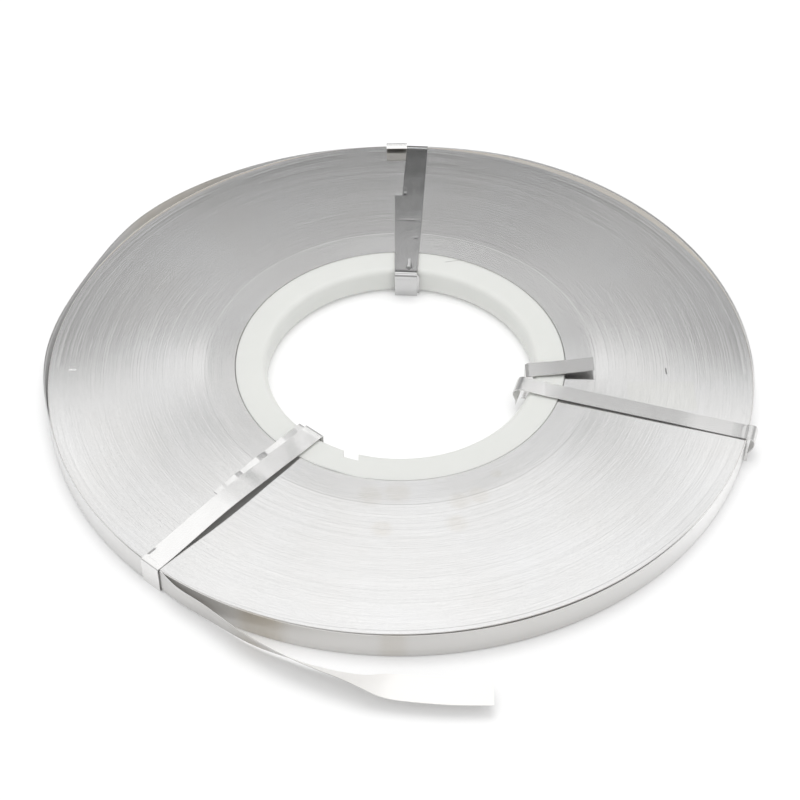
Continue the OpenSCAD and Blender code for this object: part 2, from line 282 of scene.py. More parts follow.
# ---------------------------------------------------------------- materials
class Shader:
    """A material's node tree, with short calls for the nodes used here."""

    def __init__(self, name):
        self.material = bpy.data.materials.new(name)
        self.material.use_nodes = True
        self.tree = self.material.node_tree
        self.surface = self.tree.nodes["Principled BSDF"]

    def node(self, kind, settings=None, **inputs):
        made = self.tree.nodes.new(kind)
        for key, value in (settings or {}).items():
            setattr(made, key, value)
        for key, value in inputs.items():
            self.feed(made.inputs[key.replace("_", " ")], value)
        return made

    def feed(self, socket, value):
        if isinstance(value, bpy.types.NodeSocket):
            self.tree.links.new(value, socket)
        else:
            socket.default_value = value

    def math(self, operation, *values):
        made = self.tree.nodes.new("ShaderNodeMath")
        made.operation = operation
        for socket, value in zip(made.inputs, values):
            self.feed(socket, value)
        return made.outputs[0]

    def joined(self, operation, values):
        """Many values put together by one operation."""
        found = values[0]
        for value in values[1:]:
            found = self.math(operation, found, value)
        return found

    def mix(self, factor, a, b):
        """A colour mix."""
        made = self.tree.nodes.new("ShaderNodeMix")
        made.data_type = "RGBA"
        self.feed(made.inputs[0], factor)
        self.feed(made.inputs[6], a)
        self.feed(made.inputs[7], b)
        return made.outputs[2]

    def spread(self, value, low, high):
        """A value from 0 to 1 spread between low and high."""
        made = self.node("ShaderNodeMapRange", Value=value)
        made.inputs["To Min"].default_value = low
        made.inputs["To Max"].default_value = high
        return made.outputs[0]

    def ramp(self, value, start, end, kind="LINEAR"):
        """0 at start, 1 at end."""
        made = self.node("ShaderNodeMapRange", {"interpolation_type": kind}, Value=value)
        made.inputs["From Min"].default_value = start
        made.inputs["From Max"].default_value = end
        return made.outputs[0]

    def noise(self, vector, scale, detail=2.0, roughness=0.5):
        return self.node("ShaderNodeTexNoise", Vector=vector, Scale=scale, Detail=detail,
                         Roughness=roughness).outputs["Fac"]

    def place(self):
        """The point in millimetres, and its x, y and z."""
        raw = self.node("ShaderNodeTexCoord").outputs["Object"]
        point = self.node("ShaderNodeVectorMath", {"operation": "SCALE"}, Vector=raw)
        point.inputs["Scale"].default_value = 1 / MM
        split = self.node("ShaderNodeSeparateXYZ", Vector=point.outputs[0])
        return point.outputs[0], split.outputs

    def spot(self, x, y, radius):
        """1 within a round spot in plan, falling off to 0 at its edge."""
        _, (px, py, _) = self.place()
        away = self.length(self.math("SUBTRACT", px, x), self.math("SUBTRACT", py, y))
        return self.ramp(away, radius, radius * 0.35, "SMOOTHSTEP")

    def band(self, value, low, high, soft):
        """1 between low and high, falling off to 0 within soft outside them."""
        return self.math("MULTIPLY", self.ramp(value, low - soft, low, "SMOOTHSTEP"),
                         self.ramp(value, high + soft, high, "SMOOTHSTEP"))

    def length(self, x, y):
        squares = [self.math("MULTIPLY", part, part) for part in (x, y)]
        return self.math("SQRT", self.math("ADD", *squares))

    def ring_place(self):
        """The radius, and a place for noise that goes by direction and radius: round the ring in its
        first two numbers, across it in the third."""
        _, (x, y, _) = self.place()
        r = self.length(x, y)
        return r, self.node("ShaderNodeCombineXYZ", X=self.math("DIVIDE", x, r),
                            Y=self.math("DIVIDE", y, r), Z=r).outputs[0]

    def set(self, **inputs):
        for key, value in inputs.items():
            self.feed(self.surface.inputs[key.replace("_", " ")], value)


def grey(value, warm=0.0):
    """A near neutral colour, warmer where warm is positive."""
    return (value * (1 + warm), value, value * (1 - 1.6 * warm), 1)


SMUDGES = (  # handling marks on the front of the winding: (x, y, radius)
    (-8, -53, 5), (-1, -52, 5), (-5, -65, 4), (16, -55, 4), (21, -53, 4),
    (15, -63, 4), (26, -45, 2),
)


def winding_material(name, gain, warm):
    """Strip edges side by side: fine rings and short streaks along them, brushed round the coil, with
    faint stains. The innermost turns are a little duller. gain is the brightness."""
    s = Shader(name)
    r, rings = s.ring_place()

    def ring_noise(round_scale, radial_scale, detail, roughness):
        place = s.node("ShaderNodeVectorMath", {"operation": "MULTIPLY"}, Vector=rings)
        place.inputs[1].default_value = (round_scale, round_scale, radial_scale)
        return s.noise(place.outputs[0], 1.0, detail, roughness)

    lines = ring_noise(6.0, 3.2, 3.0, 0.7)
    streaks = ring_noise(30.0, 2.2, 2.0, 0.6)
    broad = ring_noise(1.5, 0.45, 2.0, 0.6)
    point, (x, y, _) = s.place()
    grain = s.noise(point, 1.5, 2.0, 0.6)
    stains = s.noise(point, 0.035, 3.0, 0.55)

    weights = ((lines, 0.35), (streaks, 0.2), (broad, 0.15), (grain, 0.3))
    mixed = s.joined("ADD", [s.math("MULTIPLY", part, weight) for part, weight in weights])
    depth = s.math("MULTIPLY", s.spread(stains, 0.97 * gain, 1.05 * gain), s.spread(mixed, 0.54, 0.82))

    def patch(x_range, x_soft, y_range, y_soft):
        return s.math("MULTIPLY", s.band(x, *x_range, x_soft), s.band(y, *y_range, y_soft))

    smudges = s.joined("MAXIMUM", [s.spot(*smudge) for smudge in SMUDGES])
    smudges = s.math("MULTIPLY", smudges, s.spread(s.noise(point, 0.5, 3.0, 0.6), 0.0, 1.0))
    tint = s.mix(stains, grey(1.0, warm + 0.012), grey(1.0, warm - 0.004))
    tint = s.mix(smudges, tint, grey(0.91, warm + 0.03))
    yellowed = patch((65.0, 83.0), 1.0, (-20.5, -10.0), 1.0)  # beside the right tie
    tint = s.mix(s.math("MULTIPLY", yellowed, 0.5), tint, (1.0, 1.0, 0.96, 1))
    dark_nick = patch((76.1, 76.25), 0.2, (-6.1, -4.2), 0.6)
    tint = s.mix(dark_nick, tint, grey(0.3, warm))
    bright_scratch = patch((-94.9, -93.2), 0.4, (-4.4, -3.9), 0.2)
    tint = s.mix(bright_scratch, tint, grey(1.35, warm))
    tone = s.node("ShaderNodeVectorMath", {"operation": "SCALE"}, Vector=tint)
    s.feed(tone.inputs["Scale"], depth)

    inner = s.ramp(r, INNER_TURNS_R + 0.8, INNER_TURNS_R - 1.6)
    rough = s.math("ADD", s.spread(lines, 0.12, 0.14), s.math("MULTIPLY", inner, 0.05))
    height = s.math("ADD", s.math("MULTIPLY", lines, 0.5), s.math("MULTIPLY", broad, 0.5))
    bump = s.node("ShaderNodeBump", Strength=0.15, Distance=0.000016, Height=height)
    s.set(Base_Color=tone.outputs[0], Metallic=1.0, Roughness=rough, Normal=bump.outputs[0])
    # The gloss is sharp along the turns and wide across them
    s.set(Anisotropic=0.95, Anisotropic_Rotation=0.25)
    s.set(Tangent=s.node("ShaderNodeTangent", {"direction_type": "RADIAL", "axis": "Z"}).outputs[0])
    return s.material


def strip_material(name, tone, rough, metal=0.92, warm=0.004):
    """Rolled strip: satin, with a faint grain and small dents."""
    s = Shader(name)
    point, _ = s.place()
    cloud = s.noise(point, 0.25, 3.0, 0.6)
    speck = s.noise(point, 5.0, 2.0, 0.6)
    s.set(
        Base_Color=s.mix(cloud, grey(tone * 0.95, warm + 0.004), grey(tone, warm)),
        Metallic=metal,
        Roughness=s.spread(speck, rough * 0.85, rough * 1.15),
        Normal=s.node("ShaderNodeBump", Strength=0.2, Distance=0.00002, Height=speck).outputs[0],
    )
    return s.material


def turn_material(name, front, side, right, metal, warm):
    """The outer turns: handled strip, with stains, and painted light and shade. front, side and right
    are the tones painted towards the front, all round, and towards +X, standing in for how the light
    falls on each side."""
    s = Shader(name)
    point, (x, y, _) = s.place()
    cloud = s.noise(point, 0.12, 3.0, 0.6)
    speck = s.noise(point, 3.0, 2.0, 0.6)
    # Painted light and shade: the tone goes over to the right tone towards +X and to the front tone
    # towards the front
    tone = s.mix(s.ramp(x, 55, 85), grey(side, warm), grey(right, warm))
    tone = s.mix(s.ramp(y, -60, -95), tone, grey(front, warm + 0.01))
    stains = (((-36.0, -95.0, 9.0), 1.0), ((-2.0, -101.0, 5.0), 0.5), ((-70.0, 76.0, 32.0), 0.7))
    stain = s.joined("MAXIMUM", [s.math("MULTIPLY", s.spot(*spot), share) for spot, share in stains])
    stain = s.math("MULTIPLY", stain, s.spread(cloud, 0.2, 1.0))
    s.set(
        Base_Color=s.mix(stain, tone, grey(front * 0.75, 0.08)),
        Metallic=metal,
        Roughness=s.spread(speck, 0.28, 0.40),
        Normal=s.node("ShaderNodeBump", Strength=0.2, Distance=0.00003, Height=speck).outputs[0],
    )
    return s.material


def core_material():
    """White moulded plastic, a little greenish and translucent."""
    s = Shader("core_white")
    point, (x, y, _) = s.place()
    cloud = s.noise(point, 0.12, 3.0, 0.5)
    grain = s.noise(point, 3.0, 2.0, 0.5)
    tone = s.mix(cloud, (0.75, 0.76, 0.73, 1), (0.79, 0.795, 0.77, 1))
    # A pencil-thin mark at the back, sloping a little
    off_line = s.math("SUBTRACT", y, s.math("MULTIPLY", x, 0.19))
    mark = s.math("MULTIPLY", s.band(off_line, 40.15, 40.3, 0.1), s.band(x, 14.2, 18.4, 1.0))
    s.set(
        Base_Color=s.mix(s.math("MULTIPLY", mark, 0.7), tone, (0.35, 0.35, 0.33, 1)),
        Roughness=s.spread(grain, 0.38, 0.5),
        Subsurface_Weight=0.3,
        Subsurface_Radius=(1.0, 1.0, 1.0),
        Subsurface_Scale=0.003,
        Normal=s.node("ShaderNodeBump", Strength=0.15, Distance=0.00005, Height=grain).outputs[0],
    )
    return s.material


def floor_material():
    s = Shader("white_floor")
    s.set(
        Base_Color=(0.9, 0.9, 0.9, 1),
        Roughness=0.9,
        Specular_IOR_Level=0.1,
        Emission_Color=(1, 1, 1, 1),
        Emission_Strength=0.12,
    )
    return s.material


# ---------------------------------------------------------------- winding
BODY_R = 99.2  # nominal edge of the tight turns
WINDING_R = CORE_R + 0.1
INNER_DROP = 0.01  # how much lower the innermost turns start
INNER_LEAN = 0.03  # and how much lower still they get by the core
BAND_EDGE = 0.12  # from a band's edge to where its face begins
BAND_TILT = 0.002  # most that a band steps or tilts
GROOVE = 0.003  # depth between two bands
LIP = 0.02  # rounding of the outer edges
WAVE = 0.006  # height of the slow waves in the end faces

# How the rim was wound, round the coil (plan angle, radius or width). Inside the tight edge every turn
# is tight. A gap and a pack of looser turns follow, then in places a band of turns that slope in.
TIGHT_EDGE = round_the_coil((
    (0, 100.9), (18, 101.0), (31, 99.9), (60, 99.4), (78, 99.4), (95, 100.35), (105, 100.25),
    (118, 99.45), (150, 99.7), (178, 100.6), (225, 100.4), (240, 99.8), (262, 99.1), (290, 98.7),
    (308, 98.95), (325, 99.9), (340, 100.7),
))
PACK_EDGE = round_the_coil((
    (0, 101.0), (18, 101.1), (31, 100.0), (60, 99.5), (78, 99.5), (95, 100.45), (105, 100.35),
    (118, 99.55), (150, 99.8), (178, 100.7), (230, 100.6), (262, 100.2), (290, 99.9), (310, 100.15),
    (330, 100.65),
))
PACK_GAP = round_the_coil(((0, 0), (240, 0), (262, 0.02), (290, 0.04), (310, 0.03), (330, 0)))
SLOPED_W = round_the_coil((
    (0, 0.1), (18, 0.3), (25, 1.0), (32, 1.6), (40, 1.9), (50, 2.1), (62, 1.8), (70, 1.5), (80, 0.9),
    (88, 0), (105, 0), (114, 0.8), (140, 0.65), (156, 0.3), (164, 0), (260, 0), (330, 0),
))
LAST_TURN = round_the_coil((
    (0, 101.7), (25, 102.2), (50, 102.4), (68, 101.85), (82, 100.8), (90, 100.55), (100, 100.8),
    (118, 102.1), (140, 103.7), (158, 101.75), (178, 102.8), (196, 101.15), (230, 100.95),
    (300, 100.87), (345, 101.1),
))


def end_face(seed):
    """One end of the winding, from the core out: bands that step and tilt a little, with a groove
    between each two."""
    draw = random.Random(seed)
    last_band_from = BODY_R - 0.9
    inner_w = INNER_TURNS_R - WINDING_R
    face = []
    r = WINDING_R
    while r < last_band_from:
        width = draw.uniform(0.55, 1.5)
        if r + width > last_band_from:
            width = BODY_R - r
        drop = draw.uniform(0, BAND_TILT)
        tilt = draw.uniform(-BAND_TILT, BAND_TILT)
        if r < INNER_TURNS_R:
            drop += INNER_DROP + INNER_LEAN * (INNER_TURNS_R - r) / inner_w
            tilt = 0.5 * INNER_LEAN * width / inner_w
        z = HALF_W - drop
        face.append((r + BAND_EDGE, z - tilt))
        face.append((r + width - BAND_EDGE, z + tilt))
        face.append((r + width, z - GROOVE))
        r += width
    return face[:-2]  # the last band goes on to the rim


def settled(angle, r, z):
    """The tight turns end at their own edge, and their end faces have slow waves."""
    share = smoothstep(r, 90.0, BODY_R)
    edge = (TIGHT_EDGE(angle) - BODY_R) * share
    if abs(z) > HALF_W - 1:
        a = math.radians(angle)
        wave = (math.sin(2 * a + r / 9) + 0.6 * math.sin(3 * a - r / 14 + 1)
                + 0.4 * math.sin(5 * a + r / 6))
        z += WAVE * wave * (1 if z > 0 else -1) * (1 - share)
    return r + edge, z


def tight_turns(material):
    bevel = 0.3  # at the core
    top = end_face(seed=11)
    bottom = [(r, -z) for r, z in reversed(end_face(seed=23))]
    profile = [(WINDING_R, HALF_W - bevel)] + top + [(BODY_R - LIP, HALF_W), (BODY_R, HALF_W - LIP)]
    profile += [(BODY_R, LIP - HALF_W), (BODY_R - LIP, -HALF_W)] + bottom
    profile += [(WINDING_R, bevel - HALF_W)]

    def along_a_ring(p, q):
        level = 0.005
        return abs(p.z - q.z) < level and abs(p.to_2d().length - q.to_2d().length) < level

    segments = 320  # as many as keep the piece under 200,000 triangles
    return lathe("tight_turns", profile, full_turn(segments), material, settled, along_a_ring)


def pack_of_turns(name, inner, width, slope, material):
    """Turns standing side by side from a radius inner(angle) outwards, sloping down inwards."""
    profile = [(0, HALF_W - LIP), (0, HALF_W), (1, HALF_W), (1, HALF_W - LIP)]
    profile += [(r, -z) for r, z in reversed(profile)]

    def placed(angle, share, z):
        across = max(0.05, width(angle))  # never less than a sliver
        inset = LIP * (1 - 2 * share) if abs(z) == HALF_W else 0
        fall = slope * across * (1 - share) * (1 if z > 0 else -1)
        return inner(angle) + share * across + inset, z - fall

    return lathe(name, profile, full_turn(360), material, placed)


# ---------------------------------------------------------------- outer turns and free end
TURNS = 3  # the last turns, which are modelled one by one
TURN_PITCH = 0.16


def turn_radius(angle, depth):
    """Middle radius of the outermost turn (depth 0) or of one of the two under it, at its top edge."""
    last = LAST_TURN(angle) - STRIP_T / 2
    inside = PACK_EDGE(angle) + max(0.0, SLOPED_W(angle)) + STRIP_T / 2
    room = max(0.0, last - inside)
    back = smoothstep(math.cos(math.radians(angle - 90)), -0.25, 0.1)  # 1 round the back
    if depth == 1:
        return last - min(TURN_PITCH + 0.3 * back, max(TURN_PITCH, room / 2))
    if depth == 2:
        return min(inside + 0.02, last - 2 * TURN_PITCH)
    return last


# How far in the foot of a sprung turn stays, as a share of its rise: (plan angle, share)
FOOT_SHARES = round_the_coil((
    (0, 0), (28, 0.85), (78, 0.85), (100, 0.7), (150, 0.6), (170, 0.45), (200, 0), (300, 0),
))

# The free end: (x, y, height of the middle, lean out of the vertical)
TAIL = (
    (-57.2, -84.4, 0.05, 8),
    (-50, -89.9, 0.1, 10),
    (-39, -98.4, 0.2, 20),
    (-28, -104.6, 0.3, 33),
    (-20, -108.2, 0.35, 41),
    (-14, -110.4, 0.4, 49),
    (-9, -112.1, 0.4, 62),
    (-4, -113.3, 0.4, 84),
    (1, -114.1, 0.4, 91),
    (12, -115.1, 0.4, 94),
    (23, -115.2, 0.4, 97),
)


def outer_strip(material, inside):
    """The last turns and the free end, as one strip from the inside out. inside is the material of
    its inner side."""
    end_angle = TAIL_ANGLE + 360
    path = []  # (x, y, height of the middle, lean)
    step = 1.5
    for i in range(round(360 * TURNS / step) + 1):
        total = end_angle - 360 * TURNS + i * step
        depth = min(TURNS - 1, int((end_angle - total - 1e-6) / 360))
        angle = total + 360 * depth
        r = turn_radius(angle, depth)
        if depth:  # it goes over into the next turn under the left tie
            over = smoothstep(angle, end_angle - 14, end_angle)
            r += (turn_radius(angle, depth - 1) - r) * over
        rise = max(0.0, r - COIL_R - 1)
        lean = math.asin(min(0.3, max(0.0, FOOT_SHARES(angle)) * rise / (2 * HALF_W)))
        place = radial(angle) * (r - HALF_W * math.sin(lean))
        path.append((place.x, place.y, HALF_W * (1 - math.cos(lean)), math.degrees(lean)))
    path += [tuple(p) for p in curve_through((path[-1],) + TAIL, 1.0)][1:]
    rows = []
    last = len(path) - 1
    for i, (x, y, z, lean) in enumerate(path):
        p, q = path[max(i - 1, 0)], path[min(i + 1, last)]
        ahead = Vector((q[0] - p[0], q[1] - p[1], 0)).normalized()
        out = Vector((ahead.y, -ahead.x, 0))
        a = math.radians(lean)
        rows.append((Vector((x, y, z)), UP * math.cos(a) + out * math.sin(a),
                     out * math.cos(a) - UP * math.sin(a)))
    width = 2 * HALF_W - 0.04  # a little less than the winding's height
    return ribbon("outer_turns", rows, width, STRIP_T, 6, material, back_material=inside)


# ---------------------------------------------------------------- core ring
NOTCH = (246.9, 253.2)  # plan angles of the moulding notch in the bore's edge
NOTCH_R = 41.7  # how far out it reaches
NOTCH_SKEW = 0.35  # it runs off the radial direction by this slope


def core_ring(material):
    rounding, edge = 1.8, 0.3  # radii at the bore and outside
    fall = 0.05  # of the end face, from the bore outwards
    inner = BORE_R + rounding
    profile = arc((inner, HALF_W - rounding), rounding, 180, 90, 10)
    profile += [(inner + (CORE_R - inner) * t, HALF_W - fall * t) for t in (0.3, 0.6, 0.9)]
    profile += arc((CORE_R - edge, HALF_W - edge - fall), edge, 90, 0, 3)
    profile += [(r, -z) for r, z in reversed(profile)]
    cuts = [a + side * 0.02 for a in NOTCH for side in (-1, 1)]
    angles = sorted(full_turn(192) + cuts)

    def notched(angle, r, z):
        if NOTCH[0] < angle < NOTCH[1]:
            r = max(r, NOTCH_R)
        return r, z

    ring = lathe("core_ring_moulding", profile, angles, material, notched)
    middle = math.radians(sum(NOTCH) / 2)
    along = Vector((-math.sin(middle), math.cos(middle), 0))
    for vertex in ring.data.vertices:  # slant the notch, and what is beside it less and less
        x, y, _ = vertex.co / MM
        off = abs(math.remainder(math.atan2(y, x) - middle, 2 * math.pi))
        skew = NOTCH_SKEW * (math.hypot(x, y) - BORE_R - 1.5) * smoothstep(math.degrees(off), 9, 4)
        vertex.co += along * skew * MM
    return ring


# ---------------------------------------------------------------- ties
FOLD_R = 0.5  # radius of the ties' bends


def over_the_edge(r, z):
    """The bend of a tie from its outer riser at radius r on to the coil's top at height z."""
    return arc((r - FOLD_R, z - FOLD_R), FOLD_R, 0, 90, 6)


def into_the_bore(r, z):
    """The bend of a tie from the coil's top at height z down the bore at radius r."""
    return arc((r + FOLD_R, z - FOLD_R), FOLD_R, 90, 180, 6)


def with_shift(points, shift):
    return [(r, shift, z) for r, z in points]


def back_tie(material, smooth, end_darker_brown):
    """Two layers on top of the coil and a hooked end beside them at the rim."""
    angle, width, shift = 86.44, 6.7, 0.53
    outer, inner = COIL_R + 0.5, 36.9
    z_out, z_in = TIE_Z + 0.1, TIE_Z + 0.65
    # Up outside, over the coil, round a fold that stands off into the bore, and down
    path = [(outer, FOOT_Z)] + over_the_edge(outer, z_out)
    path += [(38.2, z_in), (37.4, z_in + 0.02)] + arc((36.95, 3.8), 1.15, 85, 200, 8)
    path += [(35.85, 3.2), (36.0, 2.9), (inner, 2.6), (inner, FOOT_Z + 0.1)]
    path = evenly(with_shift(path, shift), 0.4)

    def relief(r, s, height):
        if r < 37.8 or r > COIL_R - 0.05:
            return 0
        off = 0.1 * smoothstep(r, COIL_R - 1.0, COIL_R - 0.2)  # raised just before the outer bend
        length = (r - 38.9) / 4.9  # a teardrop dent, its point outwards
        if 0 < length < 1:
            half = 0.75 * (1 - length) ** 0.6 * smoothstep(length, 0, 0.2)
            off -= 0.25 * (1 - length) * smoothstep(abs(s + 0.75), half + 0.15, half - 0.1)
        off -= 0.02 * bump_at(r, 62.0, 0.22) * bump_at(s, 0.2, 2.6)  # a scratch across
        off -= 0.03 * bump_at(r, 75.2, 0.5) * bump_at(s, 2.4, 0.35)  # and two small dents
        off -= 0.03 * bump_at(r, 53.6, 0.35) * bump_at(s, -2.1, 0.5)
        off += 0.004 * math.sin(r / 2.3 + s) * math.sin(r / 5.1 - 0.7 * s)  # it isn't quite flat
        return off

    pieces = [tie_ribbon("tie_back_upper", path, angle, width, smooth, relief, 34)]

    # Under layer, cut off on top of the coil, turning sideways as it goes down the bore
    under_angle, under_shift, under_in, cut_r = 90, -1.75, 38.0, 75.5
    path = [(cut_r, TIE_Z)] + into_the_bore(under_in, TIE_Z + 0.35) + [(under_in, FOOT_Z)]
    path = evenly([(r, under_shift, z) for r, z in path], 0.5)
    path = [(r, s - 0.75 * smoothstep(z, 3.5, 2.0), z) for r, s, z in path]

    def lifted_end(r, s, height):
        return 0.03 * smoothstep(r, cut_r - 0.7, cut_r) if height > HALF_W else 0

    pieces.append(tie_ribbon("tie_back_under", path, under_angle, width, smooth, lifted_end))

    # Hooked end beside them: a flap standing off the coil's edge, and the strip's end under it
    hook_angle = 90.6
    path = [(outer, FOOT_Z), (outer, 4.4), (100.1, 5.3)] + arc((99.7, 5.3), 0.25, 30, 85, 4)
    path += [(98.6, 5.45), (97.5, 5.25)]
    path = evenly([(r, 0, z) for r, z in path], 0.3)
    pieces.append(tie_ribbon("tie_back_hook", path, hook_angle, width - 0.1, material))
    # The strip's end under the flap is darker and browner than the rest of the tie
    path = evenly([(100.0, 0, TIE_Z - 0.08), (93.0, 0, TIE_Z - 0.08)], 0.5)
    pieces.append(tie_ribbon("tie_back_lip", path, hook_angle, width - 0.2, end_darker_brown))
    under_end = (under_angle, under_in, under_shift)
    for name, end in (("tie_back_floor_run", (angle, outer, shift)),
                      ("tie_back_hook_run", (hook_angle, outer, 0))):
        pieces.append(under_run(name, under_end, end, width, material))
    return pieces


def left_tie(material, plain, under):
    """A tie that bows off the coil, over a crumpled under layer of the plain material."""
    angle, width, shift = -130.95, 6.2, 1.3
    outer, inner = COIL_R + 1.25, 37.6
    bow = round_the_coil(((0, 0), (120, 1.3), (200, 1.0), (300, 0.5)))  # over 300 degrees of a span
    first, last = COIL_R - 1.0, BORE_R + 1.2
    path = [(outer, FOOT_Z)] + over_the_edge(outer, TIE_Z)
    spans = 60
    for i in range(spans + 1):
        u = i / spans
        path.append((first + (last - first) * u, TIE_Z + bow(300 * u)))
    path += into_the_bore(inner, TIE_Z + 0.5) + [(inner, FOOT_Z + 0.35)]
    path = evenly(with_shift(path, shift), 0.4)

    def relief(r, s, height):
        if height < TIE_Z - 0.2 or r > first or r < last:
            return 0
        u = (r - first) / (last - first)
        across = s / width + 0.5
        off = 0.1 * math.sin(math.pi * u) * across  # the lower right edge stands off a little
        off += 0.10 * math.sin((r - 62) / 2.9) * bump_at(r, 62, 3.5) * (1 - 0.4 * across)  # a buckle
        off -= 0.14 * bump_at(r - 0.6 * s, 45, 3.0)  # a slanting hollow near the bore
        # a pinched edge and a dent by the rim
        off -= 0.16 * smoothstep(s, -2.4, -3.1) * smoothstep(r, 96.0, 96.5) * smoothstep(r, 98.9, 98.4)
        off -= 0.04 * bump_at(r, 99.3, 0.4) * bump_at(s, -0.5, 2.0)
        return off

    pieces = [tie_ribbon("tie_left_upper", path, angle, width, material, relief, 30, under)]

    # Crumpled under layer at the inner half: long facets towards the rim, short ones towards the bore
    under_shift, under_in, under_r = -1.0, 38.0, 72.0
    under_z = TIE_Z - 0.04
    path = [(under_r - i, under_z) for i in range(int(under_r - BORE_R - 1))]
    path += into_the_bore(under_in, under_z) + [(under_in, FOOT_Z)]
    path = evenly(with_shift(path, under_shift), 0.3)
    creases = (  # (radius, rise, run towards the rim, run towards the bore)
        (69.0, 0.12, 3.0, 2.0), (64.2, 0.33, 4.5, 2.6), (55.8, 0.48, 6.5, 3.6), (45.5, 0.30, 7.0, 5.0),
    )

    def crumpled(r, s, height):
        if height < TIE_Z - 0.2 or r > under_r - 0.3 or r < BORE_R + 1:
            return 0
        outwards = 0.5 - s / width  # 1 at the upper left edge, which stands off
        off = 0
        for crease, rise, far, near in creases:
            at = r - crease - 1.0 * (1 - outwards)
            off = max(off, rise * (1 - at / far) if at > 0 else rise * (1 + at / near))
        return off * outwards ** 0.7

    pieces.append(tie_ribbon("tie_left_under", path, angle, width, plain, crumpled, 24))
    pieces.append(under_run("tie_left_floor_run", (angle, under_in, under_shift), (angle, outer, shift),
                            width, material))
    return pieces


def right_tie(material, dull_and_shaded, under):
    """A tie with a standing loop outside the rim, and a loose end over the core ring."""
    angle, width, shift = -16.95, 5.5, -0.44
    riser = COIL_R + 2.0
    bottom_z = FOOT_Z + 0.02
    # The loop
    path = [(riser, bottom_z), (riser, -1.4), (102.6, -0.2), (103.2, 1.2), (103.4, 2.6), (103.0, 4.0),
            (102.5, 4.42), (101.7, 4.55), (100.9, 4.5)]
    # On top of the coil: (radius, height over the other ties' middle line)
    path += [(r, TIE_Z + rise) for r, rise in (
        (100.4, 0.15), (99.6, 0.1), (96.8, 0.05), (90, 0.08), (70, 0.15), (55, 0.2), (47, 0.3),
        (43.5, 0.42), (42.3, 0.52), (39.5, 0.68), (37.0, 0.72), (35.6, 0.5), (34.8, -0.1))]
    # Down the bore, standing off it
    path += [(34.35, 3.2), (34.5, 2.0), (35.1, 0.6), (35.3, -1.2)]
    path = evenly(curve_through(with_shift(path, shift), 0.35), 0.6)

    def relief(r, s, height):
        if height < TIE_Z - 0.3 or r > COIL_R - 0.4:
            return 0
        lower = 0.5 - s / width  # 1 at the lower edge, which stands off
        off = 0.17 * lower * smoothstep(r, 42, 50) * (1 - 0.8 * smoothstep(r, 80, 88))
        off += 0.08 * lower * smoothstep(r, 96.4, 97.2)
        off -= 0.08 * smoothstep(r, 96.4, 97.2) * smoothstep(r, 99.6, 98.8)  # pressed down by the rim
        off += 0.035 * bump_at(r + 0.3 * s, 43.0, 0.5)  # a slanting crease
        return off

    pieces = [tie_ribbon("tie_right_main", path, angle, width, material, relief, 20, under)]

    # Loose end, from the bore out over the core ring, in a rougher copy of the strip that is also
    # painted darker as shade
    end_angle, end_shift, end_r = 0.5, -5.4, 35.9
    end_skew = 0.055  # sideways for each millimetre outwards
    path = [(end_r + out, end_shift + end_skew * out, z) for out, z in (
        (0, bottom_z), (0, 3.4), (0.12, 4.0), (0.6, 4.35), (2, 4.5), (9, 4.85), (15, 5.35),
        (19.5, 5.85))]
    path = evenly(curve_through(path, 0.4), 0.6)

    def curled(r, s, height):
        return 0.025 * s * smoothstep(r, end_r + 1, end_r + 10) if height > TIE_Z else 0

    pieces.append(tie_ribbon("tie_right_end", path, end_angle, width, dull_and_shaded, curled))
    pieces.append(under_run("tie_right_floor_run", (end_angle, end_r, end_shift), (angle, riser, shift),
                            width, material))
    return pieces


# ---------------------------------------------------------------- stage, light and camera
CAMERA_TARGET = Vector((-0.1, -8.66, -4.0))
CAMERA_DISTANCE = 551.3
CAMERA_ELEVATION = 44.90
CAMERA_ROLL = -0.095
CAMERA_LENS = 86.04  # for a sensor of 36

# Brightness of the room that the metal mirrors: (degrees above the horizon, level). Straight ahead it
# is the centre's, beyond that the one ahead, then the side's, and behind the one on the camera's side.
LIGHT_TOP = 2.0
CENTRE_LIGHT = ((0, 0.33), (16, 0.11), (28, 0.3), (34, 0.1), (37, 0), (38.5, 0.29), (40, 1.51), (41, 0),
                (42, 0.11), (43, 2.17), (44, 1.02), (45, 0.17), (46, 0.54), (47.5, 1.89), (49, 1.51),
                (51, 1.3), (54, 1.27), (58, 1.5), (64, 1.9), (69, 1.6), (76, 0.8), (90, 0.7))
AHEAD_LIGHT = ((0, 0.49), (16, 0.52), (28, 0.4), (34, 0.25), (37, 0), (38.5, 0.17), (40, 1.2), (41, 0),
               (42, 0.06), (43, 0.94), (44, 1.18), (45, 1.36), (46, 1.38), (47.5, 1.46), (49, 1.19),
               (51, 1.12), (54, 1.33), (58, 1.17), (64, 1.02), (76, 0.8), (90, 0.75))
SIDE_LIGHT = ((0, 0.7), (16, 0.7), (28, 0.51), (34, 0.43), (37, 0.4), (38.5, 0.45), (40, 0.51),
              (41, 0.48), (42, 0.53), (43, 0.7), (44, 0.87), (45, 1), (46, 1.09), (47.5, 1.17),
              (49, 1.17), (51, 1.17), (54, 1.11), (58, 1.08), (64, 1.04), (90, 1.04))
BEHIND_LIGHT = ((0, 0.5), (40, 0.55), (43, 0.8), (46, 1.0), (54, 1.0), (64, 1.6), (69, 1.5),
                (76, 0.85), (90, 0.75))
AHEAD_FROM, AHEAD_TO = 0.13, 0.24  # sines of the angle off straight ahead where the light changes
SIDE_FROM, SIDE_TO = 0.42, 0.65
BEHIND_FROM, BEHIND_TO = 0.1, 0.5  # and of the angle behind the sides

SOFT_BOX_PLACE = (0, 0.15, 1.2)  # in metres
SOFT_BOX_TILT = 7
SOFT_BOX_SIZE = 0.6
SOFT_BOX_ENERGY = 3.5


